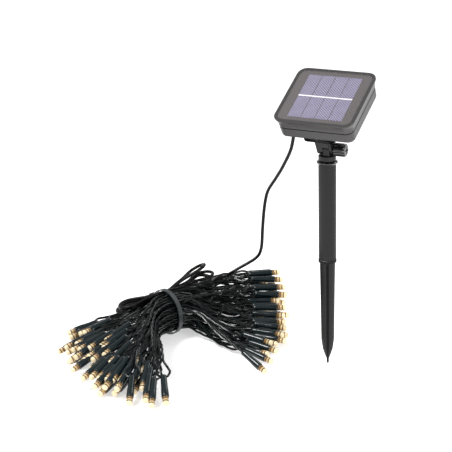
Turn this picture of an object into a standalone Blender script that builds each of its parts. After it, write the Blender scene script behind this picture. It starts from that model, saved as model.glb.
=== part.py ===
"""Solar string lights: a tilting solar head on a ground stake, with its folded string of lamps beside it.

Sizes are in millimetres, turned into metres as each mesh is made. The origin is the spike's tip, Z runs up
the stake, and X runs along the tilt hinge, with the knob at +X.
"""

import math

import bmesh
import bpy
from mathutils import Matrix, Vector

MM = 0.001
GAP = 0.3  # clearance left between pieces that meet

# Stake
SPIKE_TOP_Z = 111.0
SPIKE_SPIGOT_Z = 134.0
SLOT_HALF_WIDTH = 1.25
SLOT_TURN_DEG = 23.5
TUBE_RADIUS = 8.75
TUBE_WALL = 1.6
TUBE_BORE = TUBE_RADIUS - TUBE_WALL
COLLAR_RADIUS = 9.15
COLLAR_TOP_Z = 114.4
TUBE_TOP_Z = 213.4
RING_RADIUS = 10.5
RING_TOP_Z = 216.3

# Neck and hinge
NECK_TOP_Z = 222.2
NECK_PLUG_Z = 192.0
PLUG_RADIUS = TUBE_BORE - GAP
HINGE_Z = 228.5
HINGE_RADIUS = 5.9
TONGUE_LEFT, TONGUE_RIGHT = -1.6, 4.6
LEFT_LUG_LEFT, LEFT_LUG_RIGHT = -8.6, -1.9
RIGHT_LUG_LEFT, RIGHT_LUG_RIGHT = 4.9, 7.5
LUG_FOOT_HALF = 5.5
NUT_RADIUS = 4.04
NUT_THICKNESS = 3.0
BOLT_RADIUS = 1.9
BOLT_HOLE_RADIUS = 2.2
KNOB_LEFT, KNOB_RIGHT = 7.8, 20.3
KNOB_RADIUS = 6.6

# Head, in its own frame: origin on the hinge axis, u along it, w along the panel's normal.
# The housing's own origin is HEAD_U further along u.
HEAD_TILT_DEG = 28.5
HEAD_U = 3.0
HEAD_WIDTH = 82.0
HEAD_DEPTH = 78.0
HEAD_V = 15.5
RIM_TOP_W = 53.9
LEDGE_TOP_W, LEDGE_BOTTOM_W = 51.3, 49.8
SEAM_TOP_W = 42.2
SEAM_BOTTOM_W = 41.1
UNDERSIDE_W = 29.4
FLOOR_W = 31.4
WALL = 2.0
SEAM_INSET = 2.6  # how far the walls at the seam lie within the rim's outer edge
FOOT_INSET = 2.95
CORNER_RADIUS = 9.5
PANEL_WIDTH = 75.6
PANEL_DEPTH = 71.6
CELL_WIDTH = 55.4
CELL_DEPTH = 60.5
CELL_STRIPS = 4
STRIP_SPACE = 0.7
BOSS_U = -1.2
BOSS_WIDTH = 32.5
BOSS_DEPTH = 34.0
BOSS_BOTTOM_W = 22.6
BOSS_SCREW_U, BOSS_SCREW_V = 9.0, 10.0
SCREW_U, SCREW_V = 29.5, 29.0
BATTERY_V = 30.0
BATTERY_W = 39.6
BATTERY_RADIUS = 7.0
COVER_WIDTH, COVER_DEPTH, COVER_V = 48.0, 22.5, 33.25
COVER_SCREW_V = 41.6
BUTTON_U = 24.5
BUTTON_V = (-3.0, 9.5)
BUTTON_STEM = 6.0  # from the underside up to the stem's end
BUTTON_TRAVEL = 0.7
GLAND_U, GLAND_V = -32.0, -6.0
GLAND_TIP_W = 24.0

# Lead, lamps and hank, in the shared frame
LEAD_RADIUS = 1.75
HOLDER_LENGTH = 27.0
HOLDER_FRONT_RADIUS = 3.8
HOLDER_TAIL_RADIUS = 3.0
LENS_LENGTH = 9.0
LENS_RADIUS = 3.1
WAIST = (-189.0, -1.0, 25.6)
WAIST_HEADING_DEG = 67.7
WAIST_RADIUS = 23.6
WAIST_HALF_LENGTH = 12.7
STRAP_THICKNESS = 1.3
STRAP_WIDTH = 4.8
FAN_BASE_Z = 0.4
RIGHT_FAN_HEIGHT = 32.0
LEFT_FAN_HEIGHT = 34.0

# Each lamp that lies apart from the hank: its tip, heading and slope down, in degrees
LOOSE_LAMPS = (
    ((-43.6, -54.8, 4.0), 340.7, 20.0),
    ((-48.4, -29.6, 4.0), 350.5, 10.0),
    ((-99.9, -158.8, 4.0), 303.3, 26.0),
    ((-110.6, -168.7, 4.0), 294.3, 24.0),
    ((-132.6, -173.4, 4.0), 294.3, 24.0),
    ((-254.7, -115.5, 12.0), 240.5, 16.0),
)

LEAD_UPPER_ROUTE = (
    (-30.1, -13.3, 239.0),
    (-31.6, -11.8, 234.2),
    (-34.0, -10.0, 227.4),
    (-37.9, -7.1, 220.1),
    (-43.1, -3.0, 212.3),
    (-51.7, 3.9, 200.2),
    (-62.4, 12.7, 187.0),
    (-73.8, 21.9, 173.5),
    (-79.1, 26.2, 165.2),
    (-82.3, 28.6, 156.4),
)
LEAD_LOWER_ROUTE = (
    (-82.5, 28.8, 155.5),
    (-83.8, 29.7, 150.5),
    (-85.9, 31.2, 139.9),
    (-87.4, 32.2, 129.4),
    (-88.6, 32.9, 119.1),
    (-89.5, 33.5, 108.7),
    (-90.9, 34.4, 101.2),
    (-94.6, 37.3, 93.2),
    (-99.5, 41.0, 87.6),
    (-106.3, 46.4, 81.6),
    (-116.0, 53.8, 74.2),
    (-127.0, 62.1, 66.1),
    (-138.0, 70.4, 58.1),
    (-148.6, 78.2, 50.1),
    (-156.8, 83.6, 42.2),
    (-160.8, 86.0, 34.6),
)

RIGHT_FAN_EDGE = (
    (-142.3, 6.8),
    (-118.7, -10.9),
    (-101.1, -30.9),
    (-88.0, -46.0),
    (-80.5, -48.5),
    (-79.6, -38.7),
    (-85.5, -30.1),
    (-86.4, -18.3),
    (-75.1, -10.8),
    (-72.8, 15.1),
    (-79.6, 54.4),
    (-92.4, 93.4),
    (-111.1, 130.2),
    (-132.0, 139.2),
    (-155.2, 122.3),
    (-181.3, 87.4),
    (-198.5, 56.8),
)
LEFT_FAN_EDGE = (
    (-229.7, -10.3),
    (-240.1, -38.7),
    (-243.3, -66.7),
    (-232.5, -84.2),
    (-234.8, -110.2),
    (-227.3, -137.7),
    (-205.8, -153.5),
    (-179.0, -158.2),
    (-158.2, -149.1),
    (-145.1, -138.5),
    (-130.7, -132.0),
    (-121.4, -126.3),
    (-130.5, -106.9),
    (-147.4, -82.9),
    (-166.0, -49.0),
)


# ---------------------------------------------------------------- scene and materials


def clear_scene():
    for old in list(bpy.data.objects):
        bpy.data.objects.remove(old, do_unlink=True)


def make_material(name, colour, roughness, metallic=0.0):
    material = bpy.data.materials.new(name)
    material.use_nodes = True
    shader = material.node_tree.nodes["Principled BSDF"]
    shader.inputs["Base Color"].default_value = (*colour, 1.0)
    shader.inputs["Roughness"].default_value = roughness
    shader.inputs["Metallic"].default_value = metallic
    material.diffuse_color = (*colour, 1.0)
    return material


def make_axis(name, location, rotation=(0.0, 0.0, 0.0), parent=None):
    axis = bpy.data.objects.new(name, None)
    axis.empty_display_size = 0.01
    axis.location = [value * MM for value in location]
    axis.rotation_euler = rotation
    axis.parent = parent
    bpy.context.scene.collection.objects.link(axis)
    return axis


# ---------------------------------------------------------------- mesh helpers


def add_mesh(name, points, faces, material, parent=None):
    """A mesh object from points in millimetres, with outward faces. A cutter needs no material."""
    mesh = bpy.data.meshes.new(name)
    mesh.from_pydata([[value * MM for value in point] for point in points], [], faces)
    shape = bmesh.new()
    shape.from_mesh(mesh)
    bmesh.ops.recalc_face_normals(shape, faces=shape.faces)
    shape.to_mesh(mesh)
    shape.free()
    if material:
        mesh.materials.append(material)
    solid = bpy.data.objects.new(name, mesh)
    solid.parent = parent
    bpy.context.scene.collection.objects.link(solid)
    return solid


def shade_round(solid, angle_deg=35.0):
    solid.data.shade_smooth()
    solid.data.set_sharp_from_angle(angle=math.radians(angle_deg))


def skin(name, rings, material, parent=None, ringed=False):
    """Joins equal rings of points into one closed body. ringed joins the last ring to the first."""
    count = len(rings[0])
    points = [point for ring in rings for point in ring]
    faces = []
    pairs = len(rings) if ringed else len(rings) - 1
    for level in range(pairs):
        low = level * count
        high = (level + 1) % len(rings) * count
        for i in range(count):
            j = (i + 1) % count
            faces.append((low + i, low + j, high + j, high + i))
    if not ringed:
        faces.append(tuple(reversed(range(count))))
        last = (len(rings) - 1) * count
        faces.append(tuple(range(last, last + count)))
    solid = add_mesh(name, points, faces, material, parent)
    shade_round(solid)
    return solid


def circle(radius, z, count=32, centre=(0.0, 0.0)):
    turns = [2.0 * math.pi * i / count for i in range(count)]
    return [(centre[0] + radius * math.cos(t), centre[1] + radius * math.sin(t), z) for t in turns]


def rounded(width, depth, radius, z, centre=(0.0, 0.0), steps=4):
    """A rectangle with round corners, at height z."""
    ring = []
    corners = ((1, 1, 0), (-1, 1, 90), (-1, -1, 180), (1, -1, 270))
    for side_x, side_y, start in corners:
        middle_x = centre[0] + side_x * (width / 2.0 - radius)
        middle_y = centre[1] + side_y * (depth / 2.0 - radius)
        for step in range(steps + 1):
            turn = math.radians(start + 90.0 * step / steps)
            ring.append((middle_x + radius * math.cos(turn), middle_y + radius * math.sin(turn), z))
    return ring


def turned(name, profile, material, parent=None, count=32, centre=(0.0, 0.0), ringed=False):
    """A body of revolution about Z from (radius, z) pairs."""
    rings = [circle(radius, z, count, centre) for radius, z in profile]
    return skin(name, rings, material, parent, ringed)


def block(name, low, high, material, parent=None, bevel=0.0):
    """A box between two corners, with its edges bevelled."""
    (x0, y0, z0), (x1, y1, z1) = low, high
    rings = []
    for z in (z0, z1):
        rings.append([(x0, y0, z), (x1, y0, z), (x1, y1, z), (x0, y1, z)])
    solid = skin(name, rings, material, parent)
    if bevel:
        edge = solid.modifiers.new("Bevel", "BEVEL")
        edge.width = bevel * MM
        edge.segments = 2
    return solid


def combine(solid, other, operation, solver="EXACT"):
    """Applies a Boolean with another object, which is kept out of the render."""
    other.hide_render = True
    other.display_type = "WIRE"
    step = solid.modifiers.new(operation.title(), "BOOLEAN")
    step.operation = operation
    step.solver = solver
    step.object = other


def smooth_line(route, spacing):
    """Evenly spaced points along a Catmull-Rom curve through the route."""
    stops = [Vector(point) for point in route]
    stops = [2 * stops[0] - stops[1]] + stops + [2 * stops[-1] - stops[-2]]
    fine = []
    for a, b, c, d in zip(stops, stops[1:], stops[2:], stops[3:]):
        for step in range(40):
            t = step / 40.0
            pull = (c - a) * t + (2 * a - 5 * b + 4 * c - d) * t**2 + (3 * b - a - 3 * c + d) * t**3
            fine.append(b + 0.5 * pull)
    fine.append(stops[-2])
    length = sum((q - p).length for p, q in zip(fine, fine[1:]))
    step = length / max(2, round(length / spacing))
    line = [fine[0]]
    travelled = 0.0
    for p, q in zip(fine, fine[1:]):
        travelled += (q - p).length
        if travelled >= step * len(line) - 1e-6:
            line.append(q)
    line[-1] = fine[-1]
    return line


def tube(name, route, radius, material, parent=None, spacing=4.0):
    """A round cord along the route, with flat ends."""
    curve = bpy.data.curves.new(name, "CURVE")
    curve.dimensions = "3D"
    curve.bevel_depth = radius * MM
    curve.bevel_resolution = 2
    curve.use_fill_caps = True
    curve.materials.append(material)
    points = smooth_line(route, spacing)
    line = curve.splines.new("POLY")
    line.points.add(len(points) - 1)
    for spot, point in zip(line.points, points):
        spot.co = (*(point * MM), 1.0)
    cord = bpy.data.objects.new(name, curve)
    cord.parent = parent
    bpy.context.scene.collection.objects.link(cord)
    return cord


# ---------------------------------------------------------------- stake


def slotted_ring(radius, slot_half, slot_floor, z):
    """One level of the spike: a circle with four slots down to slot_floor from the axis."""
    outer = math.sqrt(radius**2 - slot_half**2)
    low, high = math.atan2(slot_half, outer), math.atan2(outer, slot_half)
    quarter = [(slot_floor, slot_half), (outer, slot_half)]
    for share in (0.2, 0.4, 0.6, 0.8):
        turn = low + (high - low) * share
        quarter.append((radius * math.cos(turn), radius * math.sin(turn)))
    quarter += [(slot_half, outer), (slot_half, slot_floor)]
    ring = []
    for number in range(4):
        turn = math.radians(SLOT_TURN_DEG + 90.0 * number)
        c, s = math.cos(turn), math.sin(turn)
        ring += [(x * c - y * s, x * s + y * c, z) for x, y in quarter]
    return ring


def make_spike(plastic):
    spigot = TUBE_BORE - GAP
    levels = (
        (0.6, 0.0), (1.2, 1.2), (1.3, 5.4), (2.6, 8.6), (5.2, 16.5), (6.45, 25.0), (6.7, 28.0), (7.2, 70.0),
        (7.8, SPIKE_TOP_Z - GAP), (spigot, SPIKE_TOP_Z - GAP), (spigot, SPIKE_SPIGOT_Z),
    )
    rings = []
    for radius, z in levels:
        half = min(SLOT_HALF_WIDTH, 0.3 * radius)
        rings.append(slotted_ring(radius, half, max(1.3 * half, 0.38 * radius), z))
    return skin("ground_spike", rings, plastic)


def make_lower_collar(plastic):
    """A collar of two ridges."""
    edge, groove = 0.5, 0.6
    low, high, middle = SPIKE_TOP_Z, COLLAR_TOP_Z, (SPIKE_TOP_Z + COLLAR_TOP_Z) / 2.0
    profile = (
        (TUBE_BORE, low), (COLLAR_RADIUS - edge, low), (COLLAR_RADIUS, low + edge),
        (COLLAR_RADIUS, middle - 0.5), (COLLAR_RADIUS - groove, middle - 0.2),
        (COLLAR_RADIUS - groove, middle + 0.2), (COLLAR_RADIUS, middle + 0.5),
        (COLLAR_RADIUS, high - edge), (COLLAR_RADIUS - edge, high), (TUBE_BORE, high),
    )
    return turned("lower_collar", profile, plastic, ringed=True)


def make_stake_tube(plastic):
    low = COLLAR_TOP_Z + GAP
    profile = ((TUBE_BORE, low), (TUBE_RADIUS, low), (TUBE_RADIUS, TUBE_TOP_Z), (TUBE_BORE, TUBE_TOP_Z))
    return turned("stake_tube", profile, plastic, ringed=True)


def make_tube_ring(plastic):
    edge = 0.9
    low = TUBE_TOP_Z + GAP
    profile = (
        (TUBE_BORE, low), (RING_RADIUS - edge, low), (RING_RADIUS, low + edge),
        (RING_RADIUS, RING_TOP_Z - edge), (RING_RADIUS - edge, RING_TOP_Z), (TUBE_BORE, RING_TOP_Z),
    )
    return turned("tube_ring", profile, plastic, ringed=True)


# ---------------------------------------------------------------- neck


def lug_ring(foot_half, top, x, steps=12):
    """An outline in Y and Z: a round end about the hinge axis that widens into a straight root."""
    side = 1.0 if top > 0 else -1.0
    ring = [(x, foot_half, top), (x, -foot_half, top)]
    for step in range(steps + 1):
        turn = math.radians(180.0 + 180.0 * step / steps)
        ring.append((x, HINGE_RADIUS * math.cos(turn), side * HINGE_RADIUS * math.sin(turn)))
    return ring


def make_lug(name, left, right, foot_half, top, material, parent):
    rings = [lug_ring(foot_half, top, x) for x in (left, right)]
    return skin(name, rings, material, parent)


def drill(solid, name, radius, x0, x1, parent, count=24, solver="EXACT"):
    """A hole along the hinge axis."""
    rings = []
    for x in (x0, x1):
        rings.append([(x, a, b) for a, b, _ in circle(radius, 0.0, count)])
    combine(solid, skin(name, rings, None, parent), "DIFFERENCE", solver)


def bore(solid, name, profile, parent, place=(0.0, 0.0), count=16, solver="EXACT"):
    """A hole along the head's normal, from (radius, w) pairs."""
    combine(solid, turned(name, profile, None, parent, count, place), "DIFFERENCE", solver)


def make_neck(plastic, swivel_axis):
    base = RING_TOP_Z + GAP
    edge = 0.7
    profile = (
        (PLUG_RADIUS - 1.0, NECK_PLUG_Z - base), (PLUG_RADIUS, NECK_PLUG_Z + 1.5 - base),
        (PLUG_RADIUS, 0.0), (TUBE_RADIUS - edge, 0.0), (TUBE_RADIUS, edge),
        (TUBE_RADIUS, NECK_TOP_Z - edge - base), (TUBE_RADIUS - edge, NECK_TOP_Z - base),
    )
    neck = turned("neck", profile, plastic, swivel_axis)
    hinge = make_axis("neck_hinge", (0.0, 0.0, HINGE_Z - base), parent=swivel_axis)
    foot = NECK_TOP_Z - HINGE_Z - 2.0
    tongue = make_lug("neck_tongue", TONGUE_LEFT, TONGUE_RIGHT, HINGE_RADIUS, foot, plastic, hinge)
    combine(neck, tongue, "UNION")
    drill(neck, "neck_bolt_hole", BOLT_HOLE_RADIUS, TONGUE_LEFT - 1.0, TONGUE_RIGHT + 1.0, hinge)
    return neck


# ---------------------------------------------------------------- head shell


def wall_ring(inset_by, w):
    """The housing's outline, moved in from the rim's outer edge."""
    width, depth = HEAD_WIDTH - 2.0 * inset_by, HEAD_DEPTH - 2.0 * inset_by
    return rounded(width, depth, CORNER_RADIUS - 0.9 * inset_by, w, (0.0, HEAD_V), 5)


def opening_ring(width, depth, w):
    radius = CORNER_RADIUS - 0.45 * (HEAD_WIDTH - width)
    return rounded(width, depth, max(radius, 3.0), w, (0.0, HEAD_V), 5)


def make_upper_frame(plastic, housing):
    outside = (
        (SEAM_INSET, SEAM_TOP_W), (SEAM_INSET - 0.3, 45.5), (SEAM_INSET - 1.0, 48.9), (0.3, 51.5),
        (0.0, 52.3), (0.0, RIM_TOP_W - 0.6), (0.6, RIM_TOP_W),
    )
    inner_width, inner_depth = HEAD_WIDTH - 2.0 * (SEAM_INSET + WALL), HEAD_DEPTH - 2.0 * (SEAM_INSET + WALL)
    bore_width, bore_depth = CELL_WIDTH + 4.0, CELL_DEPTH + 3.0
    inside = (
        (PANEL_WIDTH + 1.2, PANEL_DEPTH + 1.2, RIM_TOP_W),
        (PANEL_WIDTH + 0.6, PANEL_DEPTH + 0.6, RIM_TOP_W - 0.4),
        (PANEL_WIDTH + 0.6, PANEL_DEPTH + 0.6, LEDGE_TOP_W), (bore_width, bore_depth, LEDGE_TOP_W),
        (bore_width, bore_depth, LEDGE_BOTTOM_W), (inner_width, inner_depth, LEDGE_BOTTOM_W),
        (inner_width, inner_depth, SEAM_TOP_W),
    )
    rings = [wall_ring(*level) for level in outside] + [opening_ring(*level) for level in inside]
    frame = skin("upper_frame", rings, plastic, housing, ringed=True)
    for number, place in enumerate(screw_places(), 1):
        profile = ((3.0, SEAM_TOP_W), (3.0, LEDGE_BOTTOM_W + 0.5))
        post = turned(f"frame_post_{number}", profile, plastic, housing, 16, place)
        combine(frame, post, "UNION")
        bore(frame, f"frame_post_hole_{number}", ((1.7, SEAM_TOP_W - 1.0), (1.7, 48.5)), housing, place, 12)
    return frame


def screw_places():
    return [(su * SCREW_U, HEAD_V + sv * SCREW_V) for su in (-1, 1) for sv in (-1, 1)]


def make_lower_shell(plastic, housing):
    outside = (
        (FOOT_INSET + 3.0, UNDERSIDE_W), (FOOT_INSET + 1.6, UNDERSIDE_W + 0.35),
        (FOOT_INSET + 0.6, UNDERSIDE_W + 1.2), (FOOT_INSET, UNDERSIDE_W + 3.0), (SEAM_INSET, SEAM_BOTTOM_W),
    )
    inside = (
        (SEAM_INSET + WALL, SEAM_BOTTOM_W), (FOOT_INSET + WALL, FLOOR_W + 1.5),
        (FOOT_INSET + WALL + 1.4, FLOOR_W),
    )
    shell = skin("lower_shell", [wall_ring(*level) for level in outside + inside], plastic, housing)
    for number, place in enumerate(screw_places(), 1):
        profile = ((3.4, UNDERSIDE_W + 1.0), (3.0, FLOOR_W + 2.0), (3.0, SEAM_BOTTOM_W))
        combine(shell, turned(f"shell_post_{number}", profile, plastic, housing, 16, place), "UNION")
        profile = (
            (2.8, UNDERSIDE_W - 1.0), (2.8, UNDERSIDE_W + 2.2), (1.6, UNDERSIDE_W + 2.2),
            (1.6, SEAM_BOTTOM_W + 1.0),
        )
        bore(shell, f"shell_post_hole_{number}", profile, housing, place, 12)
    for number, place in enumerate(bracket_screw_places(), 1):
        profile = ((3.2, UNDERSIDE_W + 1.0), (3.2, 38.0))
        combine(shell, turned(f"bracket_post_{number}", profile, plastic, housing, 16, place), "UNION")
        profile = ((1.7, UNDERSIDE_W - 1.0), (1.7, 37.0))
        bore(shell, f"bracket_post_hole_{number}", profile, housing, place, 12)
    through = (UNDERSIDE_W - 1.0, FLOOR_W + 1.0)
    for number, v in enumerate(BUTTON_V, 1):
        bore(shell, f"button_hole_{number}", [(4.3, w) for w in through], housing, (BUTTON_U, v), 24)
    bore(shell, "gland_hole", [(2.9, w) for w in through], housing, (GLAND_U, GLAND_V))
    width, depth = COVER_WIDTH + 2 * GAP, COVER_DEPTH + 2 * GAP
    rings = [rounded(width, depth, 1.5, w, (0.0, COVER_V), 2) for w in through]
    combine(shell, skin("battery_opening", rings, plastic, housing), "DIFFERENCE")
    return shell


def make_gasket(rubber, housing):
    low, high = SEAM_BOTTOM_W + 0.25, SEAM_TOP_W - 0.25
    outer, inner = SEAM_INSET + 0.8, SEAM_INSET + WALL
    rings = [wall_ring(*level) for level in ((outer, low), (outer, high), (inner, high), (inner, low))]
    return skin("sealing_gasket", rings, rubber, housing, ringed=True)


def make_housing_screws(steel, housing):
    profile = (
        (2.4, UNDERSIDE_W + 0.2), (2.4, UNDERSIDE_W + 1.9), (1.3, UNDERSIDE_W + 1.9), (1.3, 47.8),
        (0.5, 48.2),
    )
    for number, place in enumerate(screw_places(), 1):
        turned(f"housing_screw_{number}", profile, steel, housing, 12, place)


# ---------------------------------------------------------------- solar panel


def panel_plate(name, low, high, material, housing):
    rings = [rounded(PANEL_WIDTH, PANEL_DEPTH, 7.0, w, (0.0, HEAD_V), 5) for w in (low, high)]
    return skin(name, rings, material, housing)


def make_panel(board, silicon, silver, window, housing):
    panel_plate("panel_backing", 51.6, 52.3, board, housing)
    strip = (CELL_WIDTH - (CELL_STRIPS - 1) * STRIP_SPACE) / CELL_STRIPS
    front, back = HEAD_V - CELL_DEPTH / 2.0, HEAD_V + CELL_DEPTH / 2.0
    for number in range(CELL_STRIPS):
        left = -CELL_WIDTH / 2.0 + number * (strip + STRIP_SPACE)
        block(f"cell_strip_{number + 1}", (left, front, 52.4), (left + strip, back, 52.6), silicon, housing)
    half = CELL_WIDTH / 2.0
    block("bus_ribbon", (-half, HEAD_V - 0.8, 52.7), (half, HEAD_V + 0.8, 52.8), silver, housing)
    panel_plate("panel_window", 52.9, 53.7, window, housing)


# ---------------------------------------------------------------- inside the head


def make_circuit_board(board, housing):
    return block("circuit_board", (-32.0, -8.2, 39.5), (32.0, 17.0, 41.1), board, housing)


def spring_line():
    """A coil that widens towards the cell."""
    line = []
    turns, steps = 3.5, 12
    for step in range(int(turns * steps) + 1):
        along = step / (turns * steps)
        angle = 2.0 * math.pi * step / steps
        radius = 2.4 + 1.6 * along
        v, w = BATTERY_V + radius * math.cos(angle), BATTERY_W + radius * math.sin(angle)
        line.append((-20.3 - 2.7 * along, v, w))
    return line


def make_battery(sleeve, steel, housing):
    lie = make_axis("battery_axis", (0.0, BATTERY_V, BATTERY_W), (0.0, math.pi / 2.0, 0.0), housing)
    profile = (
        (BATTERY_RADIUS - 0.6, -19.5), (BATTERY_RADIUS, -18.9), (BATTERY_RADIUS, 21.0),
        (BATTERY_RADIUS - 0.6, 21.6), (2.6, 21.6), (2.6, 23.0),
    )
    turned("battery_cell", profile, sleeve, lie, 28)
    block("plate_contact", (23.25, 25.5, 35.0), (23.75, 34.5, 44.0), steel, housing)
    spring = tube("spring_contact", spring_line(), 0.28, steel, housing, 1.8)
    spring.data.bevel_resolution = 1


def make_battery_holder(plastic, housing):
    holder = block("battery_holder", (-25.2, 21.7, 31.8), (25.2, 39.2, 48.6), plastic, housing)
    channel = BATTERY_RADIUS + 0.4
    rings = []
    for u in (-24.0, 24.0):
        outline = [(u, BATTERY_V + channel, 30.0), (u, BATTERY_V - channel, 30.0)]
        for step in range(13):
            turn = math.radians(180.0 - 15.0 * step)
            outline.append((u, BATTERY_V + channel * math.cos(turn), BATTERY_W + channel * math.sin(turn)))
        rings.append(outline)
    combine(holder, skin("holder_channel", rings, plastic, housing), "DIFFERENCE")
    tab = block("holder_tab", (-4.0, 38.0, 31.8), (4.0, 44.2, 38.0), plastic, housing)
    combine(holder, tab, "UNION")
    bore(holder, "holder_tab_hole", ((1.6, 30.0), (1.6, 37.0)), housing, (0.0, COVER_SCREW_V), 12)


def make_battery_cover(plastic, steel, housing):
    levels = (UNDERSIDE_W, FLOOR_W)
    rings = [rounded(COVER_WIDTH, COVER_DEPTH, 1.5, w, (0.0, COVER_V), 2) for w in levels]
    cover = skin("battery_cover", rings, plastic, housing)
    place = (0.0, COVER_SCREW_V)
    profile = (
        (2.8, UNDERSIDE_W - 1.0), (2.8, UNDERSIDE_W + 1.2), (1.6, UNDERSIDE_W + 1.2), (1.6, FLOOR_W + 1.0),
    )
    bore(cover, "cover_hole", profile, housing, place)
    profile = ((2.4, UNDERSIDE_W + 0.1), (2.4, UNDERSIDE_W + 0.9), (1.3, UNDERSIDE_W + 0.9), (1.3, 36.5))
    turned("battery_cover_screw", profile, steel, housing, 16, place)


def make_buttons(rubber, plastic, housing):
    profile = (
        (3.4, -1.2), (4.0, -0.7), (4.0, 2.3), (5.2, 2.3), (5.2, 3.2), (1.5, 3.2), (1.5, BUTTON_STEM),
    )
    switch_low = UNDERSIDE_W + BUTTON_STEM + BUTTON_TRAVEL + GAP
    for name, v in zip(("power", "mode"), BUTTON_V):
        place = make_axis(f"{name}_button_axis", (BUTTON_U, v, UNDERSIDE_W), parent=housing)
        turned(f"{name}_button", profile, rubber, place, 24)
        low, high = (BUTTON_U - 3.0, v - 3.0, switch_low), (BUTTON_U + 3.0, v + 3.0, 39.2)
        block(f"{name}_switch", low, high, plastic, housing)


def make_gland(rubber, housing):
    profile = (
        (2.2, GLAND_TIP_W), (2.8, UNDERSIDE_W - 1.6), (3.4, UNDERSIDE_W - 1.5), (3.4, UNDERSIDE_W - GAP),
        (2.6, UNDERSIDE_W - GAP), (2.6, 35.0),
    )
    return turned("cable_gland", profile, rubber, housing, 20, (GLAND_U, GLAND_V))


# ---------------------------------------------------------------- bracket, bolt and knob


def bracket_screw_places():
    return [(BOSS_U - BOSS_SCREW_U, -BOSS_SCREW_V), (BOSS_U + BOSS_SCREW_U, BOSS_SCREW_V)]


def toothed(width, depth, radius, w, centre, notch, pitch=5.2):
    """A rounded rectangle whose sides step in and out, for a rim of small upright slots."""
    ring = []
    half_x, half_y = width / 2.0 - radius, depth / 2.0 - radius
    sides = ((1, 0), (0, 1), (-1, 0), (0, -1))
    for index, (nx, ny) in enumerate(sides):
        tx, ty = -ny, nx
        reach = (width if nx else depth) / 2.0
        half = half_y if nx else half_x
        teeth = max(1, int(2 * half / pitch))
        for tooth in range(teeth):
            start = -half + 2 * half * tooth / teeth
            for share, inward in ((0.22, 0.0), (0.28, notch), (0.72, notch), (0.78, 0.0)):
                along = start + 2 * half * share / teeth
                out = reach - inward
                ring.append((centre[0] + nx * out + tx * along, centre[1] + ny * out + ty * along, w))
        for step in range(4):
            turn = math.radians(90.0 * index + 18.0 + 18.0 * step)
            middle_x = centre[0] + (half_x if (nx - ny) > 0 else -half_x)
            middle_y = centre[1] + (half_y if (nx + ny) > 0 else -half_y)
            ring.append((middle_x + radius * math.cos(turn), middle_y + radius * math.sin(turn), w))
    return ring


def make_bracket(plastic, housing, head):
    """A boss with a rim of upright slots, and two lugs about the hinge axis."""
    top = UNDERSIDE_W - GAP
    shallow, deep = 0.05, 1.8
    levels = (
        (2.0, shallow, BOSS_BOTTOM_W), (0.0, shallow, BOSS_BOTTOM_W + 0.8),
        (0.0, shallow, BOSS_BOTTOM_W + 1.4), (0.4, deep, BOSS_BOTTOM_W + 1.5),
        (0.4, deep, top - 1.3), (0.0, shallow, top - 1.2), (0.1, shallow, top),
    )
    rings = []
    for less, notch, w in levels:
        rings.append(toothed(BOSS_WIDTH - less, BOSS_DEPTH - less, 5.0, w, (BOSS_U, 0.0), notch))
    bracket = skin("bracket", rings, plastic, housing)
    root = BOSS_BOTTOM_W + 0.6
    left = make_lug("left_lug", LEFT_LUG_LEFT, LEFT_LUG_RIGHT, LUG_FOOT_HALF, root, plastic, head)
    right = make_lug("right_lug", RIGHT_LUG_LEFT, RIGHT_LUG_RIGHT, LUG_FOOT_HALF, root, plastic, head)
    low, high = (LEFT_LUG_RIGHT - 0.5, -6.4, 6.6), (RIGHT_LUG_LEFT + 0.5, 5.0, root)
    web = block("lug_web", low, high, plastic, head)
    for piece in (left, right, web):
        combine(bracket, piece, "UNION", "MANIFOLD")
    pocket_end = LEFT_LUG_LEFT + NUT_THICKNESS + 0.5
    low, high = pocket_end - 1.0, RIGHT_LUG_RIGHT + 1.0
    drill(bracket, "lug_bolt_hole", BOLT_HOLE_RADIUS, low, high, head, 24, "MANIFOLD")
    drill(bracket, "nut_pocket", NUT_RADIUS + 0.36, LEFT_LUG_LEFT - 1.0, pocket_end, head, 6, "MANIFOLD")
    profile = (
        (2.9, BOSS_BOTTOM_W - 1.0), (2.9, BOSS_BOTTOM_W + 2.2), (1.7, BOSS_BOTTOM_W + 2.2), (1.7, top + 1.0),
    )
    for number, place in enumerate(bracket_screw_places(), 1):
        bore(bracket, f"boss_hole_{number}", profile, housing, place, 16, "MANIFOLD")
    return bracket


def make_bracket_screws(steel, housing):
    low = BOSS_BOTTOM_W
    profile = ((2.5, low + 0.2), (2.5, low + 1.9), (1.4, low + 1.9), (1.4, 36.4))
    for number, place in enumerate(bracket_screw_places(), 1):
        turned(f"bracket_screw_{number}", profile, steel, housing, 16, place)


def make_nut(steel, head):
    low, high = LEFT_LUG_LEFT + 0.2, LEFT_LUG_LEFT + 0.2 + NUT_THICKNESS
    rings = [[(x, a, b) for a, b, _ in circle(NUT_RADIUS, 0.0, 6)] for x in (low, high)]
    nut = skin("hinge_nut", rings, steel, head)
    drill(nut, "nut_hole", 2.1, low - 1.0, high + 1.0, head)
    return nut


def make_bolt(steel, knob_axis):
    low, high = LEFT_LUG_LEFT + 0.3, KNOB_RIGHT - 4.0
    profile = ((1.5, low), (BOLT_RADIUS, low + 0.4), (BOLT_RADIUS, high))
    return turned("hinge_bolt", profile, steel, knob_axis, 24)


def knob_ring(radius, notch, x, ribs=14):
    ring = []
    for rib in range(ribs):
        for share, inward in ((0.05, 0.0), (0.55, 0.0), (0.7, notch), (0.9, notch)):
            turn = 2.0 * math.pi * (rib + share) / ribs
            out = radius - inward
            ring.append((out * math.cos(turn), out * math.sin(turn), x))
    return ring


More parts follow.
